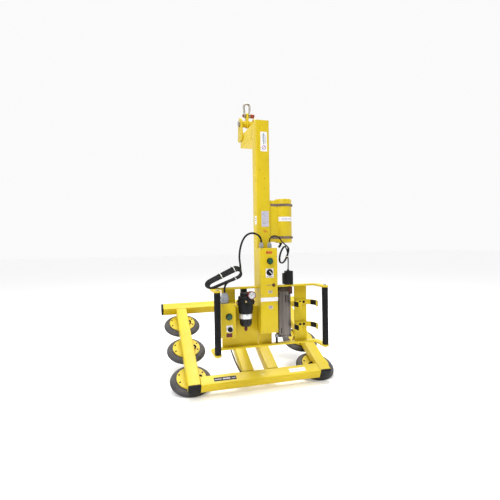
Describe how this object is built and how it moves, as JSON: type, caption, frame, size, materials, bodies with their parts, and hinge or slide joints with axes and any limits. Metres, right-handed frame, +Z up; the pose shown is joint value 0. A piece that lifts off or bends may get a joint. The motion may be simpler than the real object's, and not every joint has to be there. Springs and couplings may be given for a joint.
{
  "type": "crane-hung vacuum lifter",
  "caption": "Crane-hung vacuum lifter: suction pads on a tilting beam frame below a square mast with handle bars and controls.",
  "frame": {"origin": "where a crane hook bears, at the top of the inside of the shackle's bow", "axes": "+Z up along the mast, +X to the operator's right, +Y away from the operator towards the raised back edge of the pad frame"},
  "size_m": [1.098, 0.9614, 1.7979],
  "materials": {
    "yellow_paint": "glossy yellow enamel",
    "red_paint": "worn red enamel",
    "galvanised_steel": "dull zinc",
    "grey_steel": "brushed, dull",
    "black_plastic": "fine moulded grain",
    "red_plastic": "smooth, dark red",
    "green_plastic": "smooth",
    "grey_nylon": "satin moulding",
    "cable_rubber": "satin cable jacket",
    "foam_rubber": "matte closed-cell foam",
    "pad_rubber": "matte, dusty"
  },
  "bodies": {
    "shackle": {"shackle_bow": "galvanised_steel", "shackle_pin": "red_paint"},
    "link": {"lifting_link": "yellow_paint"},
    "mast": {"bail_pin": "galvanised_steel", "lug_plate_left": "yellow_paint", "lug_plate_right": "yellow_paint", "mast_tube": "yellow_paint", "bail_arm": "yellow_paint", "lower_arm": "yellow_paint", "pivot_cheek_left": "yellow_paint", "pivot_cheek_right": "yellow_paint", "control_box": "yellow_paint", "control_box_cover": "yellow_paint", "control_gland_left": "grey_nylon", "control_gland_right": "grey_nylon", "handle_top_bar": "yellow_paint", "handle_low_bar": "yellow_paint", "grip_left": "foam_rubber", "grip_right": "foam_rubber", "side_plate_left": "yellow_paint", "side_plate_right": "yellow_paint", "switch_box": "yellow_paint", "switch_box_gland": "grey_nylon", "filter_head": "black_plastic", "filter_bowl": "black_plastic", "reservoir": "yellow_paint", "vacuum_generator": "grey_steel", "connector_block": "black_plastic", "spring_clip_upper": "yellow_paint", "spring_clip_lower": "yellow_paint", "control_cable_lead": "cable_rubber", "control_cable_hank": "cable_rubber", "control_cable_drop": "cable_rubber", "signal_cable": "cable_rubber"},
    "pad_frame": {"front_beam": "yellow_paint", "back_beam": "yellow_paint", "side_beam_left": "yellow_paint", "side_beam_right": "yellow_paint", "middle_beam_left": "yellow_paint", "middle_beam_right": "yellow_paint", "pivot_pin": "galvanised_steel", "frame_hose": "cable_rubber", "pad_plate_front_left": "yellow_paint", "pad_plate_middle_left": "yellow_paint", "pad_plate_back_left": "yellow_paint", "pad_plate_front_right": "yellow_paint", "pad_plate_middle_right": "yellow_paint", "pad_plate_back_right": "yellow_paint", "pad_lip_front_left": "pad_rubber", "pad_lip_middle_left": "pad_rubber", "pad_lip_back_left": "pad_rubber", "pad_lip_front_right": "pad_rubber", "pad_lip_middle_right": "pad_rubber", "pad_lip_back_right": "pad_rubber"},
    "start_push": {"start_button": "green_plastic"},
    "selector": {"selector_knob": "black_plastic"},
    "attach_push": {"attach_button": "green_plastic"},
    "release_push": {"release_button": "black_plastic"},
    "needle": {"gauge_needle": "black_plastic"},
    "drain": {"drain_valve": "red_plastic"}
  },
  "joints": [
    {"name": "shackle_swing", "type": "hinge", "parent": "shackle", "child": "link", "pos_m": [0, 0, -0.071], "axis": [1, 0, 0], "range_deg": [-45, 45]},
    {"name": "mast_swing", "type": "hinge", "parent": "link", "child": "mast", "pos_m": [0, 0, -0.127], "axis": [1, 0, 0], "range_deg": [-45, 45]},
    {"name": "pad_frame_tilt", "type": "hinge", "parent": "mast", "child": "pad_frame", "pos_m": [0, 0.068, -1.566], "axis": [1, 0, 0], "range_deg": [-26, 64]},
    {"name": "start_press", "type": "slide", "parent": "mast", "child": "start_push", "axis": [0, 1, 0], "range_m": [0, 0.005], "stiffness_N_per_m": 800},
    {"name": "attach_press", "type": "slide", "parent": "mast", "child": "attach_push", "axis": [0, 1, 0], "range_m": [0, 0.005], "stiffness_N_per_m": 800},
    {"name": "release_press", "type": "slide", "parent": "mast", "child": "release_push", "axis": [0, 1, 0], "range_m": [0, 0.005], "stiffness_N_per_m": 800},
    {"name": "selector_turn", "type": "hinge", "parent": "mast", "child": "selector", "pos_m": [0.003, -0.3946, -1.0735], "axis": [0, 1, 0], "range_deg": [0, 90]},
    {"name": "needle_turn", "type": "hinge", "parent": "mast", "child": "needle", "pos_m": [-0.114, -0.4348, -1.19], "axis": [0, 1, 0], "range_deg": [-185, 85]},
    {"name": "drain_turn", "type": "hinge", "parent": "mast", "child": "drain", "pos_m": [-0.134, -0.377, -1.38], "axis": [0, 0, 1], "range_deg": [0, 90]}
  ]
}
